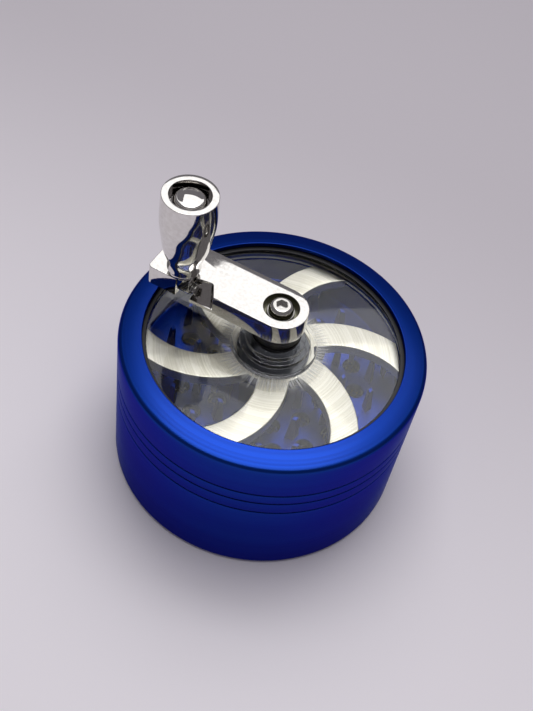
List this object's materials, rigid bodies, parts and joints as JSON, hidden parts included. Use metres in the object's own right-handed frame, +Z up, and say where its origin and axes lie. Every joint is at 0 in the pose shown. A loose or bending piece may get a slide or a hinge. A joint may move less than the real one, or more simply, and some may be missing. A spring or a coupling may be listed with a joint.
{
  "type": "herb grinder",
  "caption": "Round hand-cranked herb grinder with a clear window, swirl-bladed rotor, stacked catcher and a folding knob on its crank arm.",
  "frame": {"origin": "centre of the catcher cup's underside, on the surface that the grinder stands on", "axes": "+Z up along the grinder's axis; at rest the crank arm lies along -X and the knob stands up at its end, a little to the -Y side"},
  "size_m": [0.063, 0.063, 0.0659],
  "materials": {
    "blue_anodised_aluminium": "deep blue anodised, satin turned top face",
    "bare_aluminium": "bare, machined, fine tool marks",
    "chrome_plate": "polished chrome plate on zinc",
    "stainless_steel": "turned stainless steel",
    "clear_acrylic": "clear polished acrylic",
    "black_rubber": "matte black seal rubber",
    "white_nylon": "natural nylon",
    "black_nylon": "black nylon bearing sheet",
    "dark_bearing_steel": "turned and blackened bearing steel"
  },
  "bodies": {
    "cup": {"catcher_cup": "blue_anodised_aluminium"},
    "sieve": {"sieve_ring": "blue_anodised_aluminium", "sieve_screen": "stainless_steel", "screen_retainer": "bare_aluminium"},
    "plate": {"grinding_plate": "blue_anodised_aluminium", "slip_ring": "white_nylon"},
    "lid": {"lid_ring": "blue_anodised_aluminium", "window_gasket": "black_rubber", "window": "clear_acrylic", "window_retainer": "bare_aluminium", "shaft_bush": "dark_bearing_steel"},
    "crank": {"rotor": "bare_aluminium", "thrust_washer": "black_nylon", "drive_shaft": "stainless_steel", "spacer_collar": "stainless_steel", "crank_arm": "chrome_plate", "lock_washer": "stainless_steel", "arm_screw": "stainless_steel", "fold_pin": "stainless_steel", "fold_washer": "stainless_steel"},
    "stud": {"knob_stud": "chrome_plate", "knob_screw": "chrome_plate"},
    "knob": {"knob_sleeve": "chrome_plate"}
  },
  "joints": [
    {"name": "cup_unscrew", "type": "slide", "parent": "cup", "child": "sieve", "axis": [0, 0, 1], "range_m": [0, 0.03]},
    {"name": "sieve_unscrew", "type": "slide", "parent": "sieve", "child": "plate", "axis": [0, 0, 1], "range_m": [0, 0.02]},
    {"name": "lid_lift", "type": "slide", "parent": "plate", "child": "lid", "axis": [0, 0, 1], "range_m": [0, 0.03]},
    {"name": "crank_spin", "type": "hinge", "parent": "lid", "child": "crank", "pos_m": [0, 0, 0.036], "axis": [0, 0, 1], "continuous": true},
    {"name": "knob_fold", "type": "hinge", "parent": "crank", "child": "stud", "pos_m": [-0.019, -0.0043, 0.0436], "axis": [1, 0, 0], "range_deg": [0, 90]},
    {"name": "knob_spin", "type": "hinge", "parent": "stud", "child": "knob", "pos_m": [-0.0205, -0.0029, 0.056], "axis": [0, 0, 1], "continuous": true}
  ]
}
